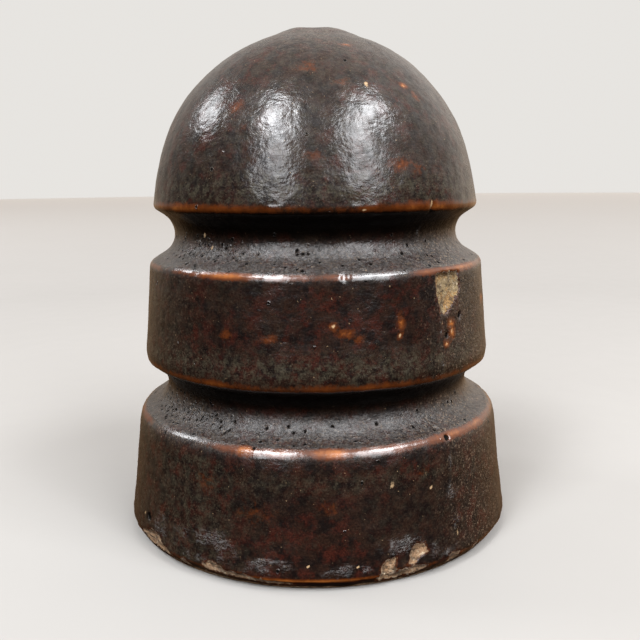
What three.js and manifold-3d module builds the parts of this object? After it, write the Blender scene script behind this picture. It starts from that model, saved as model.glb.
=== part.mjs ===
// One-piece pin-type porcelain line insulator: a domed crown over two wire grooves and a flared
// skirt. A tapered, threaded pinhole opens into the hollow under the skirt. The fired clay body
// carries a glaze coat outside and another inside the hollow; the foot ring between them and the
// thread are left dry. Millimetres, +Z up, origin at the centre of the foot ring.
import * as THREE from 'three';
import { mergeVertices } from 'three/addons/utils/BufferGeometryUtils.js';
import Module from 'manifold-3d';

// Facets
const SEGMENTS = 36;
const CROWN_STEPS = 7;
const HAUNCH_STEPS = 2;
const ARC_STEP_DEG = 30;
const THREAD_SEGMENTS = 32;
const SMALLEST_FILLET = 0.1;
const MERGE_DISTANCE = 1e-4;

// Crown: a round cap, a flatter haunch below it and a small flattened button on top
const HEIGHT = 87;
const CROWN_RADIUS = 27.95;
const CROWN_CENTRE_Z = 58.5;
const CROWN_TOP_DEG = 71.5;
const CROWN_FOOT_DEG = 18;
const HAUNCH_RADIUS = 50;
const HAUNCH_FOOT_DEG = 6.5;
const BUTTON_RADIUS = 5.4;
const BUTTON_EDGE_Z = 86.5;
const BUTTON_FILLET = 1;
const CROWN_LIP = { r: 28.8, z: 56.7, fillet: 0.8 };

// Wire grooves: the same V with a round floor, cut twice
const GROOVE_FLOOR_RADIUS = 3.75;
const GROOVE_FLANK_DEG = 35;
const UPPER_NECK_RADIUS = 25.1;
const UPPER_GROOVE_Z = 52.1;
const LOWER_NECK_RADIUS = 27.5;
const LOWER_GROOVE_Z = 25.6;

// Band between the grooves
const BAND_TOP = { r: 29.65, z: 47.2, fillet: 0.6 };
const BAND_MIDDLE = { r: 30.6, z: 37.5, fillet: 20 };
const BAND_BULGE = { r: 31.2, z: 32, fillet: 2 };
const BAND_LIP = { r: 30.95, z: 30.2, fillet: 0.5 };

// Skirt with a rounded shoulder below its shelf, its base bevel and the dry foot ring
const SKIRT_SHELF = { r: 30.1, z: 22.1, fillet: 5 };
const SKIRT_TOP = { r: 32.3, z: 21.2, fillet: 0.8 };
const SKIRT_SHOULDER = { r: 33.1, z: 18.8, fillet: 3 };
const SKIRT_MIDDLE = { r: 33.85, z: 11, fillet: 20 };
const SKIRT_BASE = { r: 35.05, z: 2.1, fillet: 0.9 };
const FOOT_OUTER_RADIUS = 33.6;
const FOOT_INNER_RADIUS = 26.4;
const FOOT_EDGE_RISE = 1.2;

// Hollow under the skirt
const HOLLOW_MOUTH_RADIUS = 25.6;
const HOLLOW_CEILING_RADIUS = 19.6;
const HOLLOW_CEILING_Z = 20;
const HOLLOW_CORNER_FILLET = 4;

// Pinhole: 1 inch pin thread, 4 threads per inch, diameter tapering 1 in 16
const PINHOLE_END_Z = 64;
const PINHOLE_END_RADIUS = 12.9;
const THREAD_PITCH = 6.35;
const THREAD_DEPTH = 1.1;
const THREAD_TAPER = 1 / 32;
const THREAD_FORM = [
  { turn: 0, depth: 0 },
  { turn: 0.3, depth: 0 },
  { turn: 0.5, depth: 1 },
  { turn: 0.8, depth: 1 },
];
const TURNS_BELOW = 2;
const TURNS_ABOVE = 1;
const MOUTH_RADIUS = 15.2;
const MOUTH_DEPTH = 2.4;
const MOUTH_CLEARANCE = 3;

// Glaze
const GLAZE_THICKNESS = 0.4;
const GLAZE_GAP = 0.3;
const GLAZE_FOOT_Z = 0.7;

// Finishes
const CLAY = { color: 0x8a7150, roughness: 0.9, metalness: 0 };
const OUTER_GLAZE = { color: 0x2b1a14, roughness: 0.3, metalness: 0 };
const INNER_GLAZE = { color: 0x3a2318, roughness: 0.4, metalness: 0 };

const radians = THREE.MathUtils.degToRad;
const degrees = THREE.MathUtils.radToDeg;

function polar(centre, radius, angleDeg) {
  const angle = radians(angleDeg);
  return new THREE.Vector2(centre.x + radius * Math.cos(angle), centre.y + radius * Math.sin(angle));
}

// Moves every corner of an open outline sideways by `distance`, towards the outline's left.
function insetCorners(corners, distance) {
  const normals = corners.slice(1).map((corner, i) => {
    const along = new THREE.Vector2(corner.r - corners[i].r, corner.z - corners[i].z).normalize();
    return new THREE.Vector2(-along.y, along.x);
  });
  return corners.map((corner, i) => {
    const before = normals[Math.max(i - 1, 0)];
    const after = normals[Math.min(i, normals.length - 1)];
    const shift = before.clone().add(after).multiplyScalar(distance / (1 + before.dot(after)));
    const turn = before.x * after.y - before.y * after.x;
    const offsetFillet = Math.max(corner.fillet - Math.sign(turn) * distance, SMALLEST_FILLET);
    return { r: corner.r + shift.x, z: corner.z + shift.y, fillet: corner.fillet ? offsetFillet : 0 };
  });
}

// Turns corners into outline points, with each fillet as an arc that meets both its edges.
function roundCorners(corners) {
  const points = [];
  corners.forEach((corner, i) => {
    const at = new THREE.Vector2(corner.r, corner.z);
    if (!corner.fillet || i === 0 || i === corners.length - 1) {
      points.push(at);
      return;
    }
    const back = new THREE.Vector2(corners[i - 1].r, corners[i - 1].z).sub(at).normalize();
    const on = new THREE.Vector2(corners[i + 1].r, corners[i + 1].z).sub(at).normalize();
    const half = Math.acos(THREE.MathUtils.clamp(back.dot(on), -1, 1)) / 2;
    const bisector = back.clone().add(on).normalize();
    const centre = at.clone().addScaledVector(bisector, corner.fillet / Math.sin(half));
    const start = at.clone().addScaledVector(back, corner.fillet / Math.tan(half)).sub(centre);
    const end = at.clone().addScaledVector(on, corner.fillet / Math.tan(half)).sub(centre);
    const sweep = Math.atan2(start.cross(end), start.dot(end));
    const steps = Math.max(1, Math.ceil(Math.abs(degrees(sweep)) / ARC_STEP_DEG));
    for (let step = 0; step <= steps; step += 1) {
      const spoke = start.clone().rotateAround(new THREE.Vector2(), (sweep * step) / steps);
      points.push(centre.clone().add(spoke));
    }
  });
  return points;
}

function grooveCorner(neckRadius, z) {
  const floorCentre = neckRadius + GROOVE_FLOOR_RADIUS;
  const r = floorCentre - GROOVE_FLOOR_RADIUS / Math.sin(radians(GROOVE_FLANK_DEG));
  return { r, z, fillet: GROOVE_FLOOR_RADIUS };
}

// Outside of the insulator from the foot up to the top of the crown, `inset` below the glaze.
function outsideOutline(inset, startZ) {
  const haunchTop = polar(new THREE.Vector2(0, CROWN_CENTRE_Z), CROWN_RADIUS, CROWN_FOOT_DEG);
  const haunchCentre = polar(haunchTop, -HAUNCH_RADIUS, CROWN_FOOT_DEG);
  const haunchFoot = polar(haunchCentre, HAUNCH_RADIUS, HAUNCH_FOOT_DEG);
  const bevelSlope = (SKIRT_BASE.r - FOOT_OUTER_RADIUS) / SKIRT_BASE.z;
  const corners = insetCorners(
    [
      { r: FOOT_OUTER_RADIUS, z: 0 },
      SKIRT_BASE,
      SKIRT_MIDDLE,
      SKIRT_SHOULDER,
      SKIRT_TOP,
      SKIRT_SHELF,
      grooveCorner(LOWER_NECK_RADIUS, LOWER_GROOVE_Z),
      BAND_LIP,
      BAND_BULGE,
      BAND_MIDDLE,
      BAND_TOP,
      grooveCorner(UPPER_NECK_RADIUS, UPPER_GROOVE_Z),
      CROWN_LIP,
      { r: haunchFoot.x, z: haunchFoot.y },
    ],
    inset,
  );
  corners[0].r += (startZ - corners[0].z) * bevelSlope;
  corners[0].z = startZ;
  const lower = roundCorners(corners).slice(0, -1);
  const arch = [];
  for (let step = 0; step < HAUNCH_STEPS; step += 1) {
    const angle = THREE.MathUtils.lerp(HAUNCH_FOOT_DEG, CROWN_FOOT_DEG, step / HAUNCH_STEPS);
    arch.push(polar(haunchCentre, HAUNCH_RADIUS - inset, angle));
  }
  for (let step = 0; step <= CROWN_STEPS; step += 1) {
    const angle = THREE.MathUtils.lerp(CROWN_FOOT_DEG, CROWN_TOP_DEG, step / CROWN_STEPS);
    arch.push(polar(new THREE.Vector2(0, CROWN_CENTRE_Z), CROWN_RADIUS - inset, angle));
  }
  const crownTop = arch[arch.length - 1];
  const button = roundCorners([
    { r: crownTop.x, z: crownTop.y },
    { r: BUTTON_RADIUS, z: BUTTON_EDGE_Z - inset, fillet: BUTTON_FILLET },
    { r: 0, z: HEIGHT - inset },
  ]);
  return [...lower, ...arch, ...button.slice(1)];
}

// Wall of the hollow from the pinhole's mouth out to the foot, `inset` below the glaze.
function hollowOutline(inset, mouthRadius, endZ) {
  const wallSlope = (HOLLOW_MOUTH_RADIUS - HOLLOW_CEILING_RADIUS) / HOLLOW_CEILING_Z;
  const corners = insetCorners(
    [
      { r: mouthRadius, z: HOLLOW_CEILING_Z },
      { r: HOLLOW_CEILING_RADIUS, z: HOLLOW_CEILING_Z, fillet: HOLLOW_CORNER_FILLET },
      { r: HOLLOW_MOUTH_RADIUS, z: 0 },
    ],
    inset,
  );
  corners[2].r -= (endZ - corners[2].z) * wallSlope;
  corners[2].z = endZ;
  return roundCorners(corners);
}

// Spins a closed outline round the Z axis.
function lathe(outline) {
  const geometry = new THREE.LatheGeometry(outline, SEGMENTS);
  geometry.rotateX(Math.PI / 2);
  return geometry;
}

function toSolid(wasm, geometry) {
  const bare = geometry.clone();
  bare.deleteAttribute('normal');
  bare.deleteAttribute('uv');
  const merged = mergeVertices(bare, MERGE_DISTANCE);
  const vertProperties = new Float32Array(merged.attributes.position.array);
  const triVerts = new Uint32Array(merged.index.array);
  return new wasm.Manifold(new wasm.Mesh({ numProp: 3, vertProperties, triVerts }));
}

function toGeometry(solid) {
  const { vertProperties, triVerts } = solid.getMesh();
  const geometry = new THREE.BufferGeometry();
  geometry.setAttribute('position', new THREE.BufferAttribute(vertProperties, 3));
  geometry.setIndex(new THREE.BufferAttribute(triVerts, 1));
  geometry.computeVertexNormals();
  return geometry;
}

// A screw-shaped plug: every grid row climbs one pitch per turn, so row and turn meet at the seam.
function threadPlugGeometry() {
  const rowsPerTurn = THREAD_FORM.length;
  const turnsInside = Math.ceil((PINHOLE_END_Z - HOLLOW_CEILING_Z) / THREAD_PITCH);
  const turns = TURNS_BELOW + turnsInside + TURNS_ABOVE;
  const startZ = HOLLOW_CEILING_Z - TURNS_BELOW * THREAD_PITCH;
  const rows = turns * rowsPerTurn;
  const positions = [];
  for (let row = 0; row <= rows; row += 1) {
    const form = THREAD_FORM[row % rowsPerTurn];
    for (let i = 0; i < THREAD_SEGMENTS; i += 1) {
      const turn = i / THREAD_SEGMENTS;
      const z = startZ + (Math.floor(row / rowsPerTurn) + form.turn + turn) * THREAD_PITCH;
      const taper = (PINHOLE_END_Z - z) * THREAD_TAPER;
      const radius = PINHOLE_END_RADIUS + taper - form.depth * THREAD_DEPTH;
      const angle = turn * 2 * Math.PI;
      positions.push(radius * Math.cos(angle), radius * Math.sin(angle), z);
    }
  }
  const vertexAt = (row, i) => {
    const nextTurn = i === THREAD_SEGMENTS;
    return nextTurn ? (row + rowsPerTurn) * THREAD_SEGMENTS : row * THREAD_SEGMENTS + i;
  };
  const sheetRows = rows - rowsPerTurn;
  const indices = [];
  for (let row = 0; row < sheetRows; row += 1) {
    for (let i = 0; i < THREAD_SEGMENTS; i += 1) {
      const [a, b] = [vertexAt(row, i), vertexAt(row, i + 1)];
      const [c, d] = [vertexAt(row + 1, i), vertexAt(row + 1, i + 1)];
      indices.push(a, b, d, a, d, c);
    }
  }
  const lowHub = positions.length / 3;
  positions.push(0, 0, startZ);
  const highHub = lowHub + 1;
  positions.push(0, 0, startZ + turns * THREAD_PITCH);
  for (let i = 0; i < THREAD_SEGMENTS; i += 1) {
    indices.push(lowHub, vertexAt(0, i + 1), vertexAt(0, i));
    indices.push(highHub, vertexAt(sheetRows, i), vertexAt(sheetRows, i + 1));
  }
  for (let row = 0; row < rowsPerTurn; row += 1) {
    indices.push(lowHub, vertexAt(row, 0), vertexAt(row + 1, 0));
    indices.push(highHub, vertexAt(sheetRows + row + 1, 0), vertexAt(sheetRows + row, 0));
  }
  const geometry = new THREE.BufferGeometry();
  geometry.setAttribute('position', new THREE.Float32BufferAttribute(positions, 3));
  geometry.setIndex(indices);
  return geometry;
}

// The room that a threaded pin takes: the screw trimmed to the pinhole's depth, and its open mouth.
function pinRoom(wasm) {
  const openZ = HOLLOW_CEILING_Z - MOUTH_CLEARANCE;
  const reach = HOLLOW_CEILING_RADIUS;
  const depthBand = toSolid(wasm, lathe([
    new THREE.Vector2(0, openZ),
    new THREE.Vector2(reach, openZ),
    new THREE.Vector2(reach, PINHOLE_END_Z),
    new THREE.Vector2(0, PINHOLE_END_Z),
  ]));
  const mouth = toSolid(wasm, lathe([
    new THREE.Vector2(0, openZ),
    new THREE.Vector2(MOUTH_RADIUS, openZ),
    new THREE.Vector2(MOUTH_RADIUS, HOLLOW_CEILING_Z),
    new THREE.Vector2(PINHOLE_END_RADIUS - THREAD_DEPTH, HOLLOW_CEILING_Z + MOUTH_DEPTH),
    new THREE.Vector2(0, HOLLOW_CEILING_Z + MOUTH_DEPTH),
  ]));
  return toSolid(wasm, threadPlugGeometry()).intersect(depthBand).add(mouth);
}

function bodyGeometry(wasm) {
  const inset = GLAZE_THICKNESS + GLAZE_GAP;
  const outline = [
    ...hollowOutline(inset, 0, FOOT_EDGE_RISE),
    new THREE.Vector2(FOOT_INNER_RADIUS, 0),
    ...outsideOutline(inset, 0),
  ];
  return toGeometry(toSolid(wasm, lathe(outline)).subtract(pinRoom(wasm)));
}

function outerGlazeGeometry() {
  const outside = outsideOutline(0, GLAZE_FOOT_Z);
  const inside = outsideOutline(GLAZE_THICKNESS, GLAZE_FOOT_Z);
  return lathe([...inside.reverse(), ...outside]);
}

function innerGlazeGeometry() {
  const mouth = MOUTH_RADIUS + GLAZE_THICKNESS;
  const surface = hollowOutline(0, mouth, FOOT_EDGE_RISE + GLAZE_GAP);
  const back = hollowOutline(GLAZE_THICKNESS, mouth, FOOT_EDGE_RISE + GLAZE_GAP);
  return lathe([...surface, ...back.reverse(), surface[0].clone()]);
}

function piece(name, geometry, finish) {
  const mesh = new THREE.Mesh(geometry, new THREE.MeshStandardMaterial(finish));
  mesh.name = name;
  return mesh;
}

const wasm = await Module();
wasm.setup();

const group = new THREE.Group();
group.name = 'porcelain_insulator';
group.add(piece('porcelain_body', bodyGeometry(wasm), CLAY));
group.add(piece('outer_glaze', outerGlazeGeometry(), OUTER_GLAZE));
group.add(piece('inner_glaze', innerGlazeGeometry(), INNER_GLAZE));

export default group;
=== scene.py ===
"""Looks of a one-piece pin-type porcelain insulator: iron-brown glaze over a tan clay body.

The outer glaze, the inner glaze and the clay body are three meshes swept round the insulator's axis.
Lengths named below are in millimetres of the real part; MM turns them into the frame's metres.
"""

import functools
import itertools
import math

import bpy
import numpy as np
from mathutils import Matrix, Vector


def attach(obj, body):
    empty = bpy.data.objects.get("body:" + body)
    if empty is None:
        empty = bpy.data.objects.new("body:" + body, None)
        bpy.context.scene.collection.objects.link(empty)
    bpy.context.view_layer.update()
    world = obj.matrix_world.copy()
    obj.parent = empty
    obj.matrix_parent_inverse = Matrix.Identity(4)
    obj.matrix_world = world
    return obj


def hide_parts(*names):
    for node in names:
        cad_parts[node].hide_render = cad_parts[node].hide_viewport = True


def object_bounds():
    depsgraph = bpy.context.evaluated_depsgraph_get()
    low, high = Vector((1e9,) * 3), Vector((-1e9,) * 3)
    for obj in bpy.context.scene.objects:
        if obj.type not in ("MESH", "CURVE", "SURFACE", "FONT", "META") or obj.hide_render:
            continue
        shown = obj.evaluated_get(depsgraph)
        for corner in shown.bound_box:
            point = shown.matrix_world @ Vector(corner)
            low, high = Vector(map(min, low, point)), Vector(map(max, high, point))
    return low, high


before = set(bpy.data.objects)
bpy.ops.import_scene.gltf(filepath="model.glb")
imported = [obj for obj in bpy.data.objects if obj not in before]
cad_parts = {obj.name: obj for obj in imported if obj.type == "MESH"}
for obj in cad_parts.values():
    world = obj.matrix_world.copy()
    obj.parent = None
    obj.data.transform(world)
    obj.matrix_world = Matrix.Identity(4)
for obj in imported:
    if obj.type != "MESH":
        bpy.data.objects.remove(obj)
cad_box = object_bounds()

# Scale, taken from the CAD body
HEIGHT = 87.0
MM = (cad_box[1].z - cad_box[0].z) / HEIGHT

# Crown, haunch and the flattened button on top
CROWN_RADIUS = 27.95
CROWN_CENTRE_Z = 58.5
CROWN_TOP_DEG = 71.5
CROWN_FOOT_DEG = 18.0
HAUNCH_RADIUS = 50.0
HAUNCH_FOOT_DEG = 7.2
BUTTON_RADIUS = 5.4
BUTTON_EDGE_Z = 86.5
BUTTON_FILLET = 1.2

# Wire grooves
GROOVE_FLOOR_RADIUS = 3.75
GROOVE_FLANK_DEG = 35.0
UPPER_NECK_RADIUS, UPPER_GROOVE_Z = 25.1, 52.1
LOWER_NECK_RADIUS, LOWER_GROOVE_Z = 27.5, 25.6

# Edges as (radius, height, fillet)
CROWN_LIP = (28.9, 56.75, 1.2)
BAND_TOP = (29.8, 47.35, 1.5)
BAND_MIDDLE = (30.6, 37.5, 20.0)
BAND_BULGE = (31.2, 32.0, 2.0)
BAND_LIP = (31.05, 30.3, 0.95)
SKIRT_SHELF = (30.1, 22.1, 5.0)
SKIRT_TOP = (32.4, 21.35, 2.1)
SKIRT_SHOULDER = (33.0, 18.6, 5.0)
SKIRT_MIDDLE = (33.85, 11.0, 20.0)
SKIRT_BASE = (35.0, 2.1, 0.9)
FOOT_OUTER_RADIUS = 33.6
FOOT_INNER_RADIUS = 26.4

# Hollow and pinhole
HOLLOW_MOUTH_RADIUS = 25.6
HOLLOW_CEILING_RADIUS = 19.6
HOLLOW_CEILING_Z = 20.0
HOLLOW_CORNER_FILLET = 4.0
PINHOLE_END_Z = 64.0
PINHOLE_END_RADIUS = 12.9
THREAD_PITCH = 6.35
THREAD_DEPTH = 1.1
THREAD_TAPER = 1 / 32
MOUTH_RADIUS = 15.2
MOUTH_DEPTH = 2.4

# Glaze coats
GLAZE_THICKNESS = 0.4
GLAZE_GAP = 0.15
CLAY_DEPTH = GLAZE_THICKNESS + GLAZE_GAP
GLAZE_FOOT_Z = 0.7
INNER_GLAZE_END_Z = 1.5
FOOT_FLARE = (SKIRT_BASE[0] - FOOT_OUTER_RADIUS) / SKIRT_BASE[1]
GLAZE_FOOT_RADIUS = FOOT_OUTER_RADIUS + FOOT_FLARE * GLAZE_FOOT_Z

# Out of sight, the coat's back and the clay keep clear of each other and of the chips
HIDDEN_GAP = 0.35
BACK_CHIP_SPREAD = 2.2
CLAY_CHIP_SPREAD = 2.4

# How far up the outer coat's lower edge waves and thins
WAVE_REACH = 2.2
THINNING_REACH = 2.0
THINNEST_SHARE = 0.35

# Mesh fineness
OUTER_COLUMNS = 400
OUTER_ROWS = 230
BACK_COLUMNS = 100
BACK_ROWS = 56
BODY_COLUMNS = 256
BODY_OUTSIDE_ROWS = 96
BODY_HOLLOW_ROWS = 40
BODY_FOOT_ROWS = 44
INNER_COLUMNS = 192
INNER_ROWS = 48
THREAD_ROW = 0.45
OUTLINE_STEPS = 4000
HAUNCH_STEPS = 6
CROWN_STEPS = 24

# Azimuths are in degrees from the front (-Y), growing to the right (+X)
SEAM_AZIMUTH = 39.9
FRONT_CROWDING = 0.35

# What the chip and pit masks say where none is near
FAR_OUTSIDE = -9.0


# ---- outlines

FILLET_STEP_DEG = 6.0


def polar(centre, radius, degrees):
    angle = math.radians(degrees)
    return (centre[0] + radius * math.cos(angle), centre[1] + radius * math.sin(angle))


def round_corners(corners):
    """Corners (r, z, fillet) as outline points, each fillet an arc."""
    points = []
    for i, (r, z, fillet) in enumerate(corners):
        at = np.array([r, z])
        if not fillet or i in (0, len(corners) - 1):
            points.append(at)
            continue
        back = np.array(corners[i - 1][:2]) - at
        on = np.array(corners[i + 1][:2]) - at
        back /= np.hypot(*back)
        on /= np.hypot(*on)
        half = math.acos(max(-1.0, min(1.0, float(back @ on)))) / 2
        middle = (back + on) / np.hypot(*(back + on))
        centre = at + middle * fillet / math.sin(half)
        start = at + back * fillet / math.tan(half) - centre
        end = at + on * fillet / math.tan(half) - centre
        turn = math.atan2(start[0] * end[1] - start[1] * end[0], float(start @ end))
        steps = max(2, math.ceil(abs(math.degrees(turn)) / FILLET_STEP_DEG))
        for k in range(steps + 1):
            c, s = math.cos(turn * k / steps), math.sin(turn * k / steps)
            points.append(centre + np.array([start[0] * c - start[1] * s, start[0] * s + start[1] * c]))
    return points


def groove_corner(neck_radius, z):
    reach = GROOVE_FLOOR_RADIUS / math.sin(math.radians(GROOVE_FLANK_DEG))
    return (neck_radius + GROOVE_FLOOR_RADIUS - reach, z, GROOVE_FLOOR_RADIUS)


def outside_outline():
    """The glazed outside as (r, z) points, from the foot up to the top of the crown."""
    haunch_top = polar((0, CROWN_CENTRE_Z), CROWN_RADIUS, CROWN_FOOT_DEG)
    haunch_centre = polar(haunch_top, -HAUNCH_RADIUS, CROWN_FOOT_DEG)
    haunch_foot = polar(haunch_centre, HAUNCH_RADIUS, HAUNCH_FOOT_DEG)
    lower = round_corners([
        (GLAZE_FOOT_RADIUS, GLAZE_FOOT_Z, 0),
        SKIRT_BASE, SKIRT_MIDDLE, SKIRT_SHOULDER, SKIRT_TOP, SKIRT_SHELF,
        groove_corner(LOWER_NECK_RADIUS, LOWER_GROOVE_Z),
        BAND_LIP, BAND_BULGE, BAND_MIDDLE, BAND_TOP,
        groove_corner(UPPER_NECK_RADIUS, UPPER_GROOVE_Z),
        CROWN_LIP,
        (*haunch_foot, 0),
    ])[:-1]
    haunch = [polar(haunch_centre, HAUNCH_RADIUS, a)
              for a in np.linspace(HAUNCH_FOOT_DEG, CROWN_FOOT_DEG, HAUNCH_STEPS)[:-1]]
    crown = [polar((0, CROWN_CENTRE_Z), CROWN_RADIUS, a)
             for a in np.linspace(CROWN_FOOT_DEG, CROWN_TOP_DEG, CROWN_STEPS)]
    button = round_corners([(*crown[-1], 0), (BUTTON_RADIUS, BUTTON_EDGE_Z, BUTTON_FILLET), (0, HEIGHT, 0)])
    return np.array([*lower, *haunch, *crown, *button[1:]], float)


def hollow_outline():
    """The glazed hollow as (r, z) points, from the foot up to the pinhole's mouth."""
    slope = (HOLLOW_MOUTH_RADIUS - HOLLOW_CEILING_RADIUS) / HOLLOW_CEILING_Z
    return np.array(round_corners([
        (HOLLOW_MOUTH_RADIUS - slope * INNER_GLAZE_END_Z, INNER_GLAZE_END_Z, 0),
        (HOLLOW_CEILING_RADIUS, HOLLOW_CEILING_Z, HOLLOW_CORNER_FILLET),
        (MOUTH_RADIUS + GLAZE_THICKNESS, HOLLOW_CEILING_Z, 0),
    ]), float)


def along(outline):
    """Distance along an outline at each of its points."""
    return np.concatenate([[0], np.cumsum(np.hypot(*np.diff(outline, axis=0).T))])


def resample(outline, rows, crowd=None):
    """`rows` points along an outline, closer together where crowd(r, z) is high."""
    s = along(outline)
    fine = np.linspace(0, s[-1], OUTLINE_STEPS)
    r, z = np.interp(fine, s, outline[:, 0]), np.interp(fine, s, outline[:, 1])
    weight = np.ones_like(fine) if crowd is None else crowd(r, z)
    total = np.concatenate([[0], np.cumsum((weight[1:] + weight[:-1]) / 2)])
    at = np.interp(np.linspace(0, total[-1], rows), total, fine)
    return np.stack([np.interp(at, fine, r), np.interp(at, fine, z)], 1)


def outline_normals(points):
    """Unit normals of an outline that is walked with the solid on its left."""
    d = np.gradient(points, axis=0)
    n = np.stack([d[:, 1], -d[:, 0]], 1)
    return n / np.maximum(np.hypot(n[:, 0], n[:, 1])[:, None], 1e-9)


# ---- noise

CORNER_PRIMES = (73856093, 19349663, 83492791)
SEED_PRIME = 2654435
MIXING_PRIMES = (1274126177, 668265263)
LOW_31_BITS = 0x7FFFFFFF
DIRECTIONS = 4096
SEED_SHIFT = 17.137
NOISE_GAIN = 1.6
OCTAVES = 3
OCTAVE_TOTAL = 1.6


def lattice_direction(corner, seed):
    """A fixed, random-looking unit vector for each lattice corner."""
    x, y, z = (corner[..., k] * CORNER_PRIMES[k] for k in range(3))
    mixed = x ^ y ^ z ^ seed * SEED_PRIME
    mixed = (mixed ^ (mixed >> 13)) * MIXING_PRIMES[0] & LOW_31_BITS
    mixed = (mixed ^ (mixed >> 15)) * MIXING_PRIMES[1] & LOW_31_BITS
    angle = (mixed % DIRECTIONS) / DIRECTIONS * 2 * np.pi
    rise = (mixed // DIRECTIONS % DIRECTIONS) / (DIRECTIONS / 2) - 1
    flat = np.sqrt(np.maximum(0, 1 - rise * rise))
    return flat * np.cos(angle), flat * np.sin(angle), rise


def noise(points, size, seed):
    """Smooth noise from about -1 to 1, with features about `size` across."""
    at = points / size + seed * SEED_SHIFT
    cell = np.floor(at).astype(np.int64)
    inner = at - cell
    eased = inner * inner * inner * (inner * (inner * 6 - 15) + 10)
    total = np.zeros(at.shape[:-1])
    for step in itertools.product((0, 1), repeat=3):
        away = inner - np.array(step)
        x, y, z = lattice_direction(cell + np.array(step), seed)
        share = np.where(step, eased, 1 - eased)
        weight = share[..., 0] * share[..., 1] * share[..., 2]
        total += weight * (away[..., 0] * x + away[..., 1] * y + away[..., 2] * z)
    return total * NOISE_GAIN


def rough_noise(points, size, seed):
    """Octaves of noise, each half the size and strength of the last."""
    octaves = [noise(points, size / 2 ** k, seed + k) / 2 ** k for k in range(OCTAVES)]
    return sum(octaves) / OCTAVE_TOTAL


def ease(low, high, x):
    """0 at low, 1 at high, smooth between; low may be above high."""
    t = np.clip((x - low) / (high - low), 0, 1)
    return t * t * (3 - 2 * t)


def bump(x, centre, width):
    """A smooth bump, 1 at its centre."""
    return np.exp(-((x - centre) / width) ** 2)


def plateau(x, centre, width):
    """Like a bump, but flatter on top and steeper at the sides."""
    return np.exp(-((x - centre) / width) ** 4)


def strongest(layers):
    return functools.reduce(np.maximum, layers)


def wrap_degrees(a):
    return (a + 180) % 360 - 180


# ---- surface features

def polygon_depth(x, y, corners):
    """How far (x, y) lies inside a polygon; negative outside."""
    x, y = np.broadcast_arrays(x, y)
    inside = np.zeros(x.shape, bool)
    nearest = np.full(x.shape, 1e9)
    for (ax, ay), (bx, by) in zip(corners, corners[1:] + corners[:1]):
        ex, ey = bx - ax, by - ay
        t = np.clip(((x - ax) * ex + (y - ay) * ey) / (ex * ex + ey * ey), 0, 1)
        nearest = np.minimum(nearest, np.hypot(x - ax - t * ex, y - ay - t * ey))
        inside ^= ((ay > y) != (by > y)) & (x < ex * (y - ay) / (ey + 1e-12) + ax)
    return np.where(inside, nearest, -nearest)


def meridians(columns):
    """Azimuths of the mesh columns, closest together at the front."""
    even = np.arange(columns) * 2 * np.pi / columns
    return wrap_degrees(np.degrees(even - FRONT_CROWDING * np.sin(even)))[None, :]


def around_axis(r, azimuth, z):
    """Points at a radius, azimuth and height."""
    angle = np.radians(azimuth)
    return np.stack(np.broadcast_arrays(r * np.sin(angle), -r * np.cos(angle), z), -1)


class Place:
    """An outline swept round the axis."""

    def __init__(self, outline, columns):
        self.azimuth = meridians(columns)
        self.r = outline[:, :1]
        self.z = outline[:, 1:]
        self.s = along(outline)[:, None]
        self.points = around_axis(self.r, self.azimuth, self.z)
        self.shape = self.points.shape[:2]

    def across(self, azimuth):
        """Signed distance to the right of a meridian."""
        return np.radians(wrap_degrees(self.azimuth - azimuth)) * self.r

    def up(self, z):
        """Signed distance along the outline above a height."""
        return self.s - np.interp(z, self.z[:, 0], self.s[:, 0])

    def edge(self, corner, below, above):
        """1 on a named edge, falling to 0 over `below` and `above` along the outline."""
        k = int(np.argmin(np.hypot(self.r[:, 0] - corner[0], self.z[:, 0] - corner[1])))
        away = self.s - self.s[k, 0]
        return np.where(away < 0, bump(away, 0, below), bump(away, 0, above))

    def blob(self, azimuth, z, width, height, tilt=0.0):
        """1 in the middle of an oval patch, 0 on its rim, negative outside."""
        x, y = self.across(azimuth), self.up(z)
        c, s = math.cos(math.radians(tilt)), math.sin(math.radians(tilt))
        return 1 - np.hypot((x * c + y * s) / width, (y * c - x * s) / height)


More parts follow.
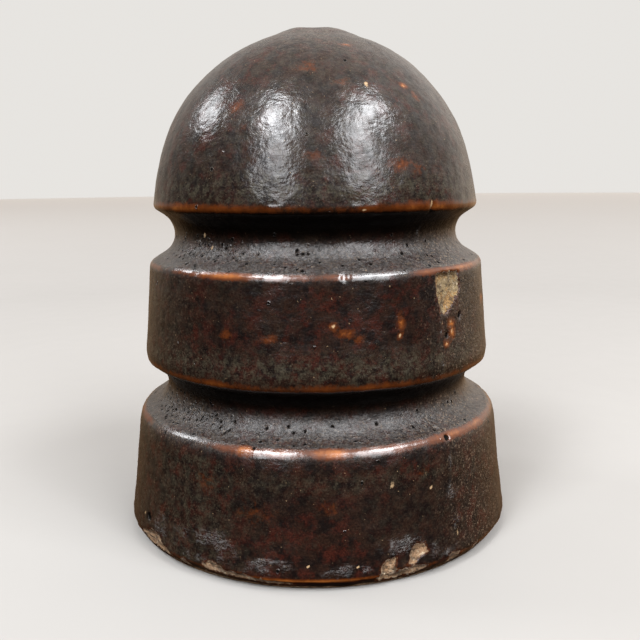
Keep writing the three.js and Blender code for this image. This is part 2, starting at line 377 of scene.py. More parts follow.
# Chips that bare the clay: (azimuth, height) corners, then depth
CHIPS = [
    ([(39.5, 46.9), (44.7, 47), (50.4, 46.9), (49.4, 45.6), (50.4, 44.9), (49.6, 43.4), (47.2, 42.3),
      (45.3, 41.5), (42.8, 40.5), (40.2, 40.6), (40, 42), (39.2, 43.6), (39, 45.4)], 0.7),
    ([(15, 1.2), (15.8, 3.4), (17.7, 4.3), (20.3, 4.6), (20.9, 3.6), (19.3, 3.1), (21.1, 2.6),
      (19.5, 2), (17.5, 1.6)], 0.5),
    ([(23.2, 2.9), (24.2, 4.9), (26.5, 6), (29.3, 5.7), (29.8, 4.3), (27.1, 3.7), (25.6, 2.8)], 0.55),
    ([(13.8, 1.7), (18, 1.9), (21.1, 2.5), (25.8, 2.8), (30.8, 1.9), (26.2, 1.4), (21.1, 1.1),
      (14, 1.1)], 0.35),
    ([(35.8, 1.2), (36.3, 2.2), (37.8, 2.8), (41.3, 2.4), (42, 1), (39, 0.7)], 0.35),
    ([(45.4, 1.2), (46.6, 2.1), (49, 2.1), (49.4, 1.1)], 0.25),
    ([(-62, 2.6), (-57.3, 3), (-53.5, 3.9), (-49, 3.9), (-46.5, 2.6), (-43, 2.3), (-41.5, 1.5),
      (-45, 0.9), (-52, 0.8), (-58, 0.9)], 0.6),
    ([(-39.5, 1.9), (-37.4, 2.3), (-35.5, 1.5), (-38.8, 1)], 0.25),
    ([(-33, 2.4), (-30, 3.1), (-27, 3), (-25, 2.5), (-19.8, 2.3), (-14.4, 2), (-9.3, 1.8),
      (-4.4, 1.6), (-4.4, 1.2), (-14, 1.4), (-24, 1.6), (-31, 1.6)], 0.25),
    ([(118, 0.8), (120, 2.9), (127, 3.5), (131, 1.9), (132, 0.7)], 0.5),
    ([(-143, 20.9), (-139, 21.2), (-136, 20.2), (-137.5, 18.6), (-141, 18.9)], 0.45),
    ([(171, 31.2), (178, 31.9), (183, 31), (181, 29.9), (173, 29.8)], 0.4),
]

# Scuffs where the gloss is rubbed off, their grey streaks partly painted glints: azimuth, height, half
# width, half height, tilt
SCUFFS_AND_GLINTS = [
    (-47, 5.6, 5, 2.6, 10), (-31, 5.2, 7.5, 3.4, 8), (-14, 3.8, 5.5, 1.5, 4),
    (24, 5.2, 6, 2.6, -16), (34, 3.6, 4, 1.6, -20), (8, 3.2, 5, 1.4, 5),
    (40, 12.2, 1.5, 2.6, -12), (39.7, 17.2, 0.5, 1.8, 0), (41.6, 8, 0.6, 1.4, 0),
    (38, 22.6, 0.6, 2.4, 40), (49.9, 38.7, 0.7, 1.3, -10), (150, 9, 4, 1.6, 12),
    (-110, 62, 3, 1.4, 30), (-72, 6, 2.6, 1.3, -15), (100, 40.5, 2.4, 1.2, 8),
    (-160, 4, 6, 1.8, 8),
]

# Stretches that are full of pinholes: azimuth, height, half width, half height
PITTED_PATCHES = [(-52, 23.9, 16, 3.8), (-42, 50.4, 11, 3.2)]

# Burst bubbles left as small pits: azimuth, height, radius, depth
PITS = [
    (-55.6, 5.6, 0.7, 0.5), (39.6, 20.9, 0.5, 0.45), (49.6, 39.7, 0.45, 0.5), (-28.1, 22.8, 0.32, 0.35),
    (-29, 22.4, 0.3, 0.3), (-32.8, 51, 0.3, 0.3), (42.6, 37, 0.45, 0.4), (160, 72, 0.6, 0.4),
    (-95, 36, 0.6, 0.4), (108, 24, 0.5, 0.4),
]

# Orange-brown iron crystals: azimuth, height, half width, half height, strength
RUST_SPOTS = [
    (39.6, 75.6, 0.7, 0.6, 1), (43.3, 73.9, 0.6, 1.1, 0.6), (21.7, 82.3, 1.1, 0.5, 0.8),
    (-1.8, 78.1, 1.8, 1.3, 0.5), (-27.8, 72.2, 1.2, 1, 0.6), (-23.2, 69, 1, 0.9, 0.4),
    (0.6, 64.9, 1.4, 0.9, 0.45), (27.9, 63.4, 1.7, 1, 0.65), (34.5, 62.8, 1.4, 0.8, 0.5),
    (12, 75.5, 1.3, 0.9, 0.4), (8.9, 38.9, 1.3, 0.7, 0.7), (5.1, 40, 0.6, 0.6, 0.8),
    (12.4, 38, 0.9, 0.6, 0.6), (25.3, 39.9, 0.7, 1.4, 0.7), (24.8, 38, 0.5, 0.5, 0.85),
    (-25.8, 38.3, 1, 0.7, 0.55), (-12.6, 38.1, 1.5, 0.7, 0.5), (44.9, 38.7, 0.85, 0.8, 1),
    (45.2, 37.2, 0.8, 0.9, 1), (42.4, 35.7, 0.75, 0.6, 0.9),
    (70, 41, 1.4, 0.9, 0.8), (112, 38, 1.2, 0.8, 0.9), (-84, 66, 1.5, 0.9, 0.7),
    (140, 68, 1.7, 0.9, 0.6), (-150, 40, 1.3, 0.8, 0.9), (178, 12, 1.6, 0.9, 0.6),
    (-118, 14, 1.4, 0.8, 0.7), (-16, 12, 2.6, 1.6, 0.35), (-31, 15.5, 2, 1.4, 0.4),
    (3, 13, 1.8, 1, 0.35), (30, 17, 1.6, 1, 0.35),
]

# Pale grit and bare slivers in the glaze: azimuth, height, half width, half height
PALE_SPECKS = [
    (5.1, 40.1, 0.28, 0.28), (24.8, 38, 0.3, 0.3), (-2.3, 4.3, 0.28, 0.22), (10.1, 3.9, 0.26, 0.22),
    (-4.1, 6.4, 0.25, 0.2), (3.7, 7.4, 0.28, 0.22), (20, 15.7, 0.36, 0.4), (32, 14, 0.3, 0.26),
    (21.2, 75.3, 0.45, 0.45), (39.6, 75.6, 0.26, 0.22), (39.2, 57.4, 0.22, 0.7), (-39.4, 50.9, 0.25, 0.3),
    (-43.6, 52.8, 0.3, 0.3), (40.4, 5.4, 0.22, 0.8), (40.4, 38.9, 0.16, 1), (44.7, 38.9, 0.32, 0.3),
    (45, 37.4, 0.3, 0.35), (42.2, 35.8, 0.32, 0.28), (-58.5, 5.7, 0.35, 0.3), (15, 56.9, 0.35, 0.2),
    (88, 12, 0.4, 0.35), (-130, 36, 0.5, 0.4), (165, 44, 0.5, 0.4), (-90, 28, 0.4, 0.4),
]

# Nicks in the sharp edges: azimuth, edge, half width, depth
EDGE_NICKS = [
    (8.8, BAND_TOP, 0.6, 0.28), (39.4, CROWN_LIP, 0.45, 0.35), (-15.5, CROWN_LIP, 0.9, 0.15),
    (22, CROWN_LIP, 1.4, 0.14), (-38, BAND_TOP, 0.8, 0.15), (-62, SKIRT_TOP, 1, 0.15),
    (30, BAND_LIP, 1.2, 0.12), (74, BAND_TOP, 1, 0.2), (140, CROWN_LIP, 1.2, 0.25),
    (-120, BAND_TOP, 1, 0.22), (-160, SKIRT_TOP, 1.4, 0.25), (95, SKIRT_TOP, 0.9, 0.2),
]

# Where the brown glaze runs thin over an edge: edge, reach below, reach above, strength
GLAZE_BREAKS = [
    (CROWN_LIP, 0.6, 1.3, 0.6),
    (BAND_TOP, 0.8, 0.7, 0.62),
    (BAND_LIP, 0.5, 1.2, 0.58),
    (SKIRT_TOP, 1.1, 0.85, 0.6),
    (SKIRT_BASE, 0.5, 0.5, 0.45),
]

# Where it runs thinner still, or stays thick: azimuth, edge, half width, change
THIN_STRETCHES = [
    (-19.5, SKIRT_TOP, 2.2, 0.5), (4, SKIRT_TOP, 5, 0.55), (-10, SKIRT_TOP, 4, 0.15),
    (-46, SKIRT_TOP, 15, -0.45), (20, SKIRT_TOP, 6, 0.1), (52, SKIRT_TOP, 16, 0.2),
    (-28, BAND_TOP, 10, 0.35), (-54, BAND_TOP, 5, -0.2), (20, BAND_TOP, 9, -0.5),
    (50, BAND_TOP, 14, 0.25), (-50, CROWN_LIP, 18, 0.2), (0, CROWN_LIP, 13, -0.2),
    (38, CROWN_LIP, 16, 0.25), (-30, BAND_LIP, 10, 0.15), (12, BAND_LIP, 10, 0.15),
]

# The mould seam's two lines: azimuth, and the height where each ends
SEAMS = [(SEAM_AZIMUTH, 58.0), (SEAM_AZIMUTH + 180, 82.0)]
SEAM_HEIGHT = 0.075
SEAM_HALF_WIDTH = 0.28

# Lumps of the fired surface: height, size across, noise seed
LUMPS = [(0.11, 9.0, 3), (0.05, 3.6, 5), (0.032, 1.5, 7), (0.018, 0.95, 9)]
BUTTON_LUMPS = (0.22, 4.2, 11)

# Shelves below the necks, their grey partly painted sheen, and bands of painted shade under the lips above
# them: height, half width
SHELVES = [(22.9, 2.7), (49.3, 2.4)]
LIP_SHADE_BANDS = [(28.4, 2.4), (54.9, 2.4)]
LIP_SHADE_RADII = (31.4, 30.4)

# Olive film: rings (height, half width, strength), steps (start, full, strength) and flanks
# (azimuth, half width, top)
FILM_RINGS = [(33.2, 2.6, 1.0), (60.0, 3.0, 1.0), (16.5, 2.0, 0.5)]
FILM_STEPS = [(79, 85, 0.8), (57, 60, 0.4)]
FILM_FLANKS = [(-75, 30, 50), (-38, 20, 19)]
FILM_FLANK_STRENGTH = 0.7

# Sandy glaze, its pale flecks painted sparkle: turns from the front where it starts and is full, and where
# it fades out behind
SAND_SPARKLE_CROWN, SAND_SPARKLE_BELOW, SAND_SPARKLE_BACK = (58, 80), (27, 50), (170, 60)
SAND_SPARKLE_TOP = (78, 85)
SAND_SPARKLE_TOP_SHARE = 0.6
# On the left the painted sparkle is weaker, as painted shade on that side
SAND_SPARKLE_LEFT_SHARE = 0.35

# The front of the base edge is worn bare: azimuth, half width
WORN_BASE = (-4, 22)

# Chips are laid out flat at this radius
CHIP_RADIUS = 31


def uneven_surface(place):
    """A little out of round, lumpy, and rougher on top."""
    ring = np.radians(place.azimuth)
    lift = 0.10 * np.cos(2 * ring - 0.9) + 0.06 * np.cos(3 * ring + 1.7)
    for height, size, seed in LUMPS:
        lift = lift + height * noise(place.points, size, seed)
    height, size, seed = BUTTON_LUMPS
    return lift + ease(84, 86, place.z) * height * noise(place.points, size, seed)


def chipped_surface(place, spread):
    """Height change of the faceted chips and their rims, and the distance inside the nearest."""
    ragged = 0.30 * rough_noise(place.points, 1.3, 31) + 0.10 * noise(place.points, 0.5, 35)
    inside = np.full(place.shape, FAR_OUTSIDE)
    cut = np.zeros(place.shape)
    for corners, depth in CHIPS:
        middle = sum(azimuth for azimuth, _ in corners) / len(corners)
        flat = [(math.radians(azimuth - middle) * CHIP_RADIUS, z) for azimuth, z in corners]
        nearness = polygon_depth(place.across(middle), place.z, flat) + ragged + spread
        inside = np.maximum(inside, nearness)
        cut = np.maximum(cut, depth * ease(-0.12, 0.55, nearness))
    facets = 0.30 * rough_noise(place.points, 1.7, 41) * ease(0, 0.4, inside)
    return facets - cut + 0.07 * bump(inside, -0.28, 0.25), inside


def seam_strength(place):
    """1 along the mould seam, which wanders a little and has gaps."""
    wander = 0.12 * noise(place.points, 7.0, 13)
    gaps = ease(-0.05, 0.4, rough_noise(place.points, 3.4, 15))
    return gaps * strongest(
        bump(place.across(azimuth) + wander, 0, SEAM_HALF_WIDTH) * ease(end + 3, end - 3, place.z)
        for azimuth, end in SEAMS)


def pitted_surface(place):
    """The same for the burst bubbles."""
    lift = np.zeros(place.shape)
    inside = np.full(place.shape, FAR_OUTSIDE)
    for azimuth, z, radius, depth in PITS:
        away = np.hypot(place.across(azimuth), place.up(z))
        lift = lift - depth * ease(radius + 0.15, 0.5 * radius, away)
        lift = lift + 0.06 * bump(away, radius + 0.3, 0.2)
        inside = np.maximum(inside, radius - away)
    return lift, inside


def nick_depth(place):
    return sum(
        depth * plateau(place.across(azimuth), 0, width) * place.edge(corner, 0.7, 0.7)
        for azimuth, corner, width, depth in EDGE_NICKS)


def rolled_edge(place):
    """The roll where the glaze crawled back from its lower edge."""
    return 0.10 * bump(place.s, 1.3, 0.7) * ease(-0.5, 0.6, noise(place.points, 3.0, 17))


def thin_edges(place):
    """How thin the coat runs over its edges, and how near an edge each point is."""
    broken = 0.7 + 0.3 * ease(-0.5, 0.35, rough_noise(place.points, 4.0, 19))
    breaks = np.zeros(place.shape)
    nearness = np.zeros(place.shape)
    for corner, below, above, strength in GLAZE_BREAKS:
        thinness = strength + sum(
            change * plateau(wrap_degrees(place.azimuth - azimuth), 0, width)
            for azimuth, edge, width, change in THIN_STRETCHES if edge is corner)
        rounded = place.edge(corner, below, above)
        breaks = np.maximum(breaks, np.clip(thinness, 0, 1.2) * broken * rounded)
        nearness = np.maximum(nearness, rounded)
    azimuth, width = WORN_BASE
    worn = plateau(wrap_degrees(place.azimuth - azimuth), 0, width) * place.edge(SKIRT_BASE, 0.4, 0.3)
    return np.maximum(breaks, worn), nearness


def film_strength(place):
    return strongest([
        *(share * bump(place.z, z, width) for z, width, share in FILM_RINGS),
        *(share * ease(start, full, place.z) for start, full, share in FILM_STEPS),
        *(FILM_FLANK_STRENGTH * bump(place.azimuth, azimuth, width) * (place.z < top)
          for azimuth, width, top in FILM_FLANKS),
    ])


def sand_and_sparkle_strength(place):
    """On the flanks, weaker on the left and behind, and on top: where its pale flecks are painted sparkle.
    """
    turned = np.abs(place.azimuth)
    on_crown = place.z > CROWN_LIP[1]
    flanks = np.where(on_crown, ease(*SAND_SPARKLE_CROWN, turned), ease(*SAND_SPARKLE_BELOW, turned))
    side = np.where(place.azimuth < 0, SAND_SPARKLE_LEFT_SHARE, 1.0) * ease(*SAND_SPARKLE_BACK, turned)
    return np.maximum(flanks * side, SAND_SPARKLE_TOP_SHARE * ease(*SAND_SPARKLE_TOP, place.z))


def zone_masks(place):
    """Zones by height and azimuth, from 0 to 1."""
    shelf, lip_shade = (strongest(plateau(place.z, *zone) for zone in zones) for zones in (SHELVES, LIP_SHADE_BANDS))
    zones = {
        "shelf": shelf,
        # Painted shade under the lips
        "lip_shade": lip_shade * ease(*LIP_SHADE_RADII, place.r),
        "film": film_strength(place),
        "sand_and_sparkle": sand_and_sparkle_strength(place),
    }
    return {name: np.broadcast_to(zone, place.shape) for name, zone in zones.items()}


def spot_masks(place):
    """Marks placed one by one, from 0 to 1."""
    scuff_and_glint = strongest(place.blob(*patch) for patch in SCUFFS_AND_GLINTS)
    rubbed_and_glinting = ease(-0.45, 0.35, noise(place.points, 2.2, 25))
    pitted = strongest(place.blob(*patch) for patch in PITTED_PATCHES)
    rust = strongest(strength * place.blob(azimuth, z, 2 * width, 2 * height)
                     for azimuth, z, width, height, strength in RUST_SPOTS)
    speck = strongest(place.blob(azimuth, z, 1.5 * width, 1.5 * height)
                      for azimuth, z, width, height in PALE_SPECKS)
    return {
        "scuff_and_glint": np.clip(2 * scuff_and_glint, 0, 1) * rubbed_and_glinting,
        "pitted": np.clip(2 * pitted, 0, 1),
        "rust": np.maximum(rust, 0),
        "speck": np.maximum(speck, 0),
    }


def shape_changes(place, spread=0.0):
    """Height in mm that the fired surface stands off the ideal outline, and masks for the shader.

    `spread` widens the chips, for layers under the surface that have to stay clear of them."""
    chip_lift, chip = chipped_surface(place, spread)
    pit_lift, pit = pitted_surface(place)
    seam = seam_strength(place)
    breaks, edge_gloss = thin_edges(place)
    lift = uneven_surface(place) + chip_lift + SEAM_HEIGHT * seam + pit_lift
    lift = lift - nick_depth(place) + rolled_edge(place)
    masks = {"chip": chip, "pit": pit, "seam": seam, "breaks": breaks, "edge_gloss": edge_gloss}
    return lift, {**masks, **zone_masks(place), **spot_masks(place)}


# ---- meshes

def sweep(outline, columns, lift, slide=0.0):
    """Points of an outline swept round the axis, moved `lift` off it and `slide` along it."""
    normals = outline_normals(outline)[:, :, None]
    r = outline[:, :1] + normals[:, 0] * lift - normals[:, 1] * slide
    z = outline[:, 1:] + normals[:, 1] * lift + normals[:, 0] * slide
    return around_axis(np.maximum(r, 0), meridians(columns), z)


def ring_faces(rows, columns, closed=False):
    """Quads between consecutive rings, and from the last to the first if closed."""
    i, j = np.meshgrid(np.arange(rows if closed else rows - 1), np.arange(columns), indexing="ij")
    a, b = i * columns + j, i * columns + (j + 1) % columns
    c, d = (a + columns) % (rows * columns), (b + columns) % (rows * columns)
    return np.stack([a, b, d, c], -1).reshape(-1, 4)


def cap_faces(first, hub, columns, upward):
    """Triangles from the ring that starts at vertex `first` to its hub."""
    j = np.arange(columns)
    a, b = first + j, first + (j + 1) % columns
    hubs = np.full(columns, hub)
    return np.stack([a, b, hubs] if upward else [b, a, hubs], -1)


def add_object(name, data):
    made = bpy.data.objects.new(name, data)
    bpy.context.scene.collection.objects.link(made)
    return made


def build_mesh(name, points, quads, triangles, attributes):
    """A smooth-shaded object, with masks for the shader."""
    mesh = bpy.data.meshes.new(name)
    loops = np.concatenate([quads.ravel(), triangles.ravel()]).astype(np.int32)
    starts = np.concatenate([np.arange(len(quads)) * 4, len(quads) * 4 + np.arange(len(triangles)) * 3])
    mesh.vertices.add(len(points))
    mesh.vertices.foreach_set("co", (points * MM).astype(np.float32).ravel())
    mesh.loops.add(len(loops))
    mesh.loops.foreach_set("vertex_index", loops)
    mesh.polygons.add(len(starts))
    mesh.polygons.foreach_set("loop_start", starts.astype(np.int32))
    mesh.update(calc_edges=True)
    mesh.polygons.foreach_set("use_smooth", np.ones(len(starts), bool))
    for key, values in attributes.items():
        layer = mesh.attributes.new(key, "FLOAT", "POINT")
        layer.data.foreach_set("value", values.astype(np.float32).ravel())
    return add_object(name, mesh)


def hub_above(ring):
    """The point on the axis that closes a small ring."""
    return np.array([[0.0, 0.0, ring[:, 2].mean()]])


def groove_crowding(r, z):
    return 1 + 2.5 * sum(plateau(z, middle, 4.0) for middle in (LOWER_GROOVE_Z, UPPER_GROOVE_Z))


def edge_crowding(r, z):
    weight = 1 + 0.3 * (z < 50)
    for corner in (CROWN_LIP, BAND_TOP, BAND_LIP, SKIRT_TOP, SKIRT_BASE):
        weight = weight + 1.6 * bump(np.hypot(r - corner[0], z - corner[1]), 0, 1.6)
    return weight


def glaze_depth(outline):
    share = THINNEST_SHARE + (1 - THINNEST_SHARE) * ease(0, THINNING_REACH, along(outline))
    return GLAZE_THICKNESS * share[:, None]


def stitch_faces(coarse, coarse_columns, fine, fine_columns):
    """Triangles between a coarse ring and the finer ring after it."""
    ratio = fine_columns // coarse_columns
    k = np.arange(fine_columns)
    near = coarse + (k + ratio // 2) // ratio % coarse_columns
    fans = np.stack([near, fine + (k + 1) % fine_columns, fine + k], -1)
    j = np.arange(coarse_columns)
    wedges = np.stack([coarse + j, coarse + (j + 1) % coarse_columns, fine + j * ratio + ratio // 2], -1)
    return np.concatenate([fans, wedges])


def coat_back(wave):
    """The outer coat's hidden rings, from the crown down."""
    outline = resample(outside_outline(), BACK_ROWS, groove_crowding)
    place = Place(outline, BACK_COLUMNS)
    lift, _ = shape_changes(place, BACK_CHIP_SPREAD)
    coarse_wave = wave[::OUTER_COLUMNS // BACK_COLUMNS] * ease(WAVE_REACH, 0, place.s)
    return sweep(outline, BACK_COLUMNS, lift - glaze_depth(outline), coarse_wave)[-2::-1]


def make_outer_glaze():
    """The outer coat: fine in front, coarse behind, joined at the wavy lower edge."""
    outline = resample(outside_outline(), OUTER_ROWS, edge_crowding)
    place = Place(outline, OUTER_COLUMNS)
    lift, masks = shape_changes(place)
    rim = place.points[0]
    wave = 0.28 * noise(rim, 4.0, 21) + 0.15 * noise(rim, 1.4, 23)
    front = sweep(outline, OUTER_COLUMNS, lift, wave * ease(WAVE_REACH, 0, place.s))[:-1]
    back = coat_back(wave)

    first = len(back) * BACK_COLUMNS
    hubs = [hub_above(back[0]), hub_above(front[-1])]
    points = np.concatenate([back.reshape(-1, 3), front.reshape(-1, 3), *hubs])
    quads = np.concatenate([
        ring_faces(len(back), BACK_COLUMNS),
        first + ring_faces(len(front), OUTER_COLUMNS),
    ])
    triangles = np.concatenate([
        stitch_faces(first - BACK_COLUMNS, BACK_COLUMNS, first, OUTER_COLUMNS),
        cap_faces(0, len(points) - 2, BACK_COLUMNS, False),
        cap_faces(first + (len(front) - 1) * OUTER_COLUMNS, len(points) - 1, OUTER_COLUMNS, True),
    ])
    attributes = {}
    for key, values in masks.items():
        unseen = FAR_OUTSIDE if key in ("chip", "pit") else 0.0
        attributes[key] = np.concatenate([np.full(first, unseen), values[:-1].ravel(), [unseen, unseen]])
    return build_mesh("glazed_outside", points, quads, triangles, attributes)


def thread_root_line():
    """The bottom of the thread as (r, z) points, from the pinhole's end down."""
    z = np.arange(PINHOLE_END_Z, HOLLOW_CEILING_Z + MOUTH_DEPTH, -THREAD_ROW)
    return np.stack([PINHOLE_END_RADIUS + (PINHOLE_END_Z - z) * THREAD_TAPER, z], 1)


def thread_height(z, azimuth):
    """How far the round thread stands into the pinhole, from 0 to 1."""
    turn = (azimuth - 90) / 360
    phase = (z - HOLLOW_CEILING_Z) / THREAD_PITCH - turn
    phase = phase - np.floor(phase)
    return ease(0.26, 0.52, phase) * ease(1.04, 0.78, phase)


def pinhole_rings():
    """Rings of clay down the pinhole, and how near the thread's bottom each point is."""
    azimuth = meridians(BODY_COLUMNS)
    root_line = thread_root_line()
    r, z = root_line[:, :1], root_line[:, 1:]
    stand = thread_height(z, azimuth)
    mouth_z = HOLLOW_CEILING_Z + MOUTH_DEPTH
    fade = ease(mouth_z, mouth_z + 3, z)
    rough = 0.06 * noise(around_axis(r, azimuth, z), 1.6, 51)
    return around_axis(r - THREAD_DEPTH * stand * fade + rough, azimuth, z), 1 - stand


def foot_line(wall_end):
    """The dry foot ring as (r, z) points, from the hollow's wall to the outer coat."""
    return resample(np.array(round_corners([
        (*wall_end, 0),
        (FOOT_INNER_RADIUS, 0, 0.5),
        (FOOT_OUTER_RADIUS - 0.05, 0, 0.35),
        (GLAZE_FOOT_RADIUS - CLAY_DEPTH / 2, GLAZE_FOOT_Z, 0),
    ])), BODY_FOOT_ROWS)


def under_rings():
    """Rings of clay from the pinhole's mouth across the hollow and the grainy foot."""
    hollow = resample(hollow_outline(), BODY_HOLLOW_ROWS)
    hollow = (hollow + outline_normals(hollow) * CLAY_DEPTH)[::-1]
    mouth = [
        (MOUTH_RADIUS, HOLLOW_CEILING_Z + 0.35 * MOUTH_DEPTH),
        (MOUTH_RADIUS + 0.3, HOLLOW_CEILING_Z + CLAY_DEPTH),
    ]
    place = Place(np.concatenate([mouth, hollow, foot_line(hollow[-1])[1:-1]]), BODY_COLUMNS)
    grain = 0.10 * rough_noise(place.points, 2.2, 53) + 0.04 * noise(place.points, 0.8, 57)
    raised = place.z + np.abs(grain) * ease(1.5, 0, place.z)
    return around_axis(place.r, place.azimuth, np.maximum(raised, 0))


def clay_outside_rings():
    outline = resample(outside_outline(), BODY_OUTSIDE_ROWS, groove_crowding)
    place = Place(outline, BODY_COLUMNS)
    lift, _ = shape_changes(place, CLAY_CHIP_SPREAD)
    gap = GLAZE_GAP + HIDDEN_GAP * ease(0, 1.5, place.s)
    return sweep(outline, BODY_COLUMNS, lift - glaze_depth(outline) - gap)[:-1]


def make_body():
    """The clay body: down the pinhole, across the hollow and foot, and up outside."""
    pinhole, thread_bottom = pinhole_rings()
    rings = np.concatenate([pinhole, under_rings(), clay_outside_rings()])
    end_hub = np.array([[0.0, 0.0, PINHOLE_END_Z]])
    points = np.concatenate([rings.reshape(-1, 3), end_hub, hub_above(rings[-1])])
    end = cap_faces(0, len(points) - 2, BODY_COLUMNS, False)
    top = cap_faces((len(rings) - 1) * BODY_COLUMNS, len(points) - 1, BODY_COLUMNS, True)
    root = np.zeros(rings.shape[:2])
    root[:len(pinhole)] = thread_bottom
    attributes = {"root": np.concatenate([root.ravel(), [0.5, 0.0]])}
    quads = ring_faces(len(rings), BODY_COLUMNS)
    return build_mesh("clay_body", points, quads, np.concatenate([end, top]), attributes)


def make_inner_glaze():
    """The glaze in the hollow: a closed shell with lumps and slow runs down the wall."""
    outline = resample(hollow_outline(), INNER_ROWS)
    place = Place(outline, INNER_COLUMNS)
    lumps = 0.09 * noise(place.points, 5.0, 61) + 0.04 * noise(place.points, 1.8, 63)
    stretched = place.points * np.array([1, 1, 0.25])
    runs = 0.10 * ease(0.1, 0.8, noise(stretched, 2.4, 65))
    wave = 0.3 * noise(place.points[0], 3.5, 67) * ease(2.5, 0, place.s)
    front = sweep(outline, INNER_COLUMNS, -(lumps + runs), wave)[::-1]
    back = sweep(outline, INNER_COLUMNS, GLAZE_THICKNESS, wave)
    rings = np.concatenate([front, back])
    quads = ring_faces(len(rings), INNER_COLUMNS, closed=True)
    return build_mesh("glazed_hollow", rings.reshape(-1, 3), quads, np.zeros((0, 3), int), {})


# ---- materials

class Nodes:
    """Adds nodes to an emptied tree, each input a value or another node's output."""

    def __init__(self, tree):
        self.tree = tree
        tree.nodes.clear()

    def fill(self, socket, value):
        if isinstance(value, bpy.types.NodeSocket):
            self.tree.links.new(value, socket)
        else:
            socket.default_value = value

    def node(self, kind, inputs=None, **settings):
        node = self.tree.nodes.new("ShaderNode" + kind)
        for key, value in settings.items():
            setattr(node, key, value)
        for key, value in (inputs or {}).items():
            self.fill(node.inputs[key], value)
        return node

    def mix(self, factor, a, b):
        """Blend of two colours."""
        node = self.node("Mix", {0: factor}, data_type="RGBA")
        for slot, colour in ((6, a), (7, b)):
            self.fill(node.inputs[slot], (*colour, 1) if isinstance(colour, tuple) else colour)
        return node.outputs[2]

    def blend(self, factor, a, b):
        """Blend of two numbers."""
        return self.node("Mix", {0: factor, 2: a, 3: b}).outputs[0]


class Finish(Nodes):
    """One material's node tree, with lengths in millimetres."""

    def __init__(self, name):
        self.material = bpy.data.materials.new(name)
        self.material.use_nodes = True
        super().__init__(self.material.node_tree)
        coordinates = self.node("TexCoord").outputs["Object"]
        scaled = self.node("VectorMath", {0: coordinates, "Scale": 1 / MM}, operation="SCALE")
        self.place = scaled.outputs[0]

    def sum(self, operation, *values):
        return self.node("Math", dict(enumerate(values)), operation=operation).outputs[0]

    def add(self, *values):
        return functools.reduce(lambda total, value: self.sum("ADD", total, value), values)

    def times(self, a, b):
        return self.sum("MULTIPLY", a, b)

    def most(self, a, b):
        return self.sum("MAXIMUM", a, b)

    def rest(self, share):
        return self.sum("SUBTRACT", 1.0, share)

    def mask(self, name):
        return self.node("Attribute", attribute_name=name).outputs["Fac"]

    def noise(self, size, detail, roughness, seed, stretch=(1, 1, 1)):
        """Noise around 0.5 with features about `size` mm across."""
        origin = (seed * 37.1, seed * 11.7, seed * 5.3)
        moved = self.node("Mapping", {"Vector": self.place, "Location": origin, "Scale": stretch})
        inputs = {"Vector": moved.outputs[0], "Scale": 1 / size, "Detail": detail, "Roughness": roughness}
        return self.node("TexNoise", inputs).outputs["Fac"]

    def cells(self, size, seed):
        """Distance to the nearest scattered point, in cell sizes, and its random number."""
        origin = (seed * 23.9, seed * 7.7, seed)
        moved = self.node("Mapping", {"Vector": self.place, "Location": origin})
        cells = self.node("TexVoronoi", {"Vector": moved.outputs[0], "Scale": 1 / size})
        split = self.node("SeparateColor", {"Color": cells.outputs["Color"]})
        return cells.outputs["Distance"], split.outputs["Red"]

    def step(self, value, low, high):
        """0 below low, 1 above high, smooth between; low may be above high."""
        return self.node("MapRange", {"Value": value, "From Min": low, "From Max": high},
                         interpolation_type="SMOOTHSTEP").outputs[0]

    def frayed(self, mask, noise, reach):
        """A mask whose rim wanders with a noise."""
        return self.add(mask, self.times(self.add(noise, -0.5), reach))

    def coats(self, colour, *layers):
        """A colour with layers of (colour, mask, strength) laid over it in turn."""
        for over, where, strength in layers:
            colour = self.mix(self.times(where, strength), colour, over)
        return colour

    def finish(self, colour, roughness, height, **shader):
        """Ends the tree with a surface whose bump height is in millimetres."""
        bump = self.node("Bump", {"Strength": 1.0, "Distance": MM, "Height": height})
        look = {"Base Color": colour, "Roughness": roughness, "Normal": bump.outputs[0], **shader}
        surface = self.node("BsdfPrincipled", look)
        self.node("OutputMaterial", {"Surface": surface.outputs[0]})
        return self.material


# Indices of refraction of the outer and the inner glaze
GLAZE_IOR = 1.56
SLIP_GLAZE_IOR = 1.54

# Glaze colours
BLACK = (0.0050, 0.0030, 0.0028)
BROWN = (0.019, 0.0090, 0.0058)
RED = (0.041, 0.0088, 0.0052)
OLIVE = (0.050, 0.043, 0.028)
# Satin grey of the shelves, lightened as painted sheen
GREY_AND_SHEEN = (0.060, 0.056, 0.054)
FLECK = (0.080, 0.065, 0.046)
# Pale flecks of the sandy glaze, painted as sparkle
SAND_SPARKLE = (0.34, 0.245, 0.165)
RUST = (0.095, 0.023, 0.0045)
ORANGE = (0.46, 0.150, 0.030)
# Painted shade: near-black for the pinholes, pits and under the lips
SHADE_BLACK = (0.0020, 0.0015, 0.0010)
# Grey of rubbed glaze, partly a painted glint
RUBBED_GREY_AND_GLINT = (0.16, 0.155, 0.15)
GRIT = (0.5, 0.34, 0.19)

# Clay colours
CLAY_TAN = (0.270, 0.195, 0.100)
CLAY_OCHRE = (0.300, 0.170, 0.060)
CLAY_PINK = (0.260, 0.155, 0.082)
CLAY_DIRT = (0.070, 0.043, 0.022)
CLAY_PALE = (0.5, 0.4, 0.28)


def clay_colour(f):
    """Broken stoneware: tan high up, pinker at the base, with dirt and pale grains."""
    base = f.step(f.node("SeparateXYZ", {0: f.place}).outputs["Z"], 14.0, 9.0)
    high = f.mix(f.step(f.noise(2.2, 3, 0.6, 72), 0.48, 0.6), CLAY_TAN, CLAY_OCHRE)
    dirt = f.step(f.noise(1.5, 5, 0.72, 71), 0.46, 0.6)
    pale = f.step(f.noise(0.8, 4, 0.7, 73), 0.54, 0.68)
    return f.coats(f.mix(base, high, CLAY_PINK), (CLAY_DIRT, dirt, 0.85), (CLAY_PALE, pale, 0.8))


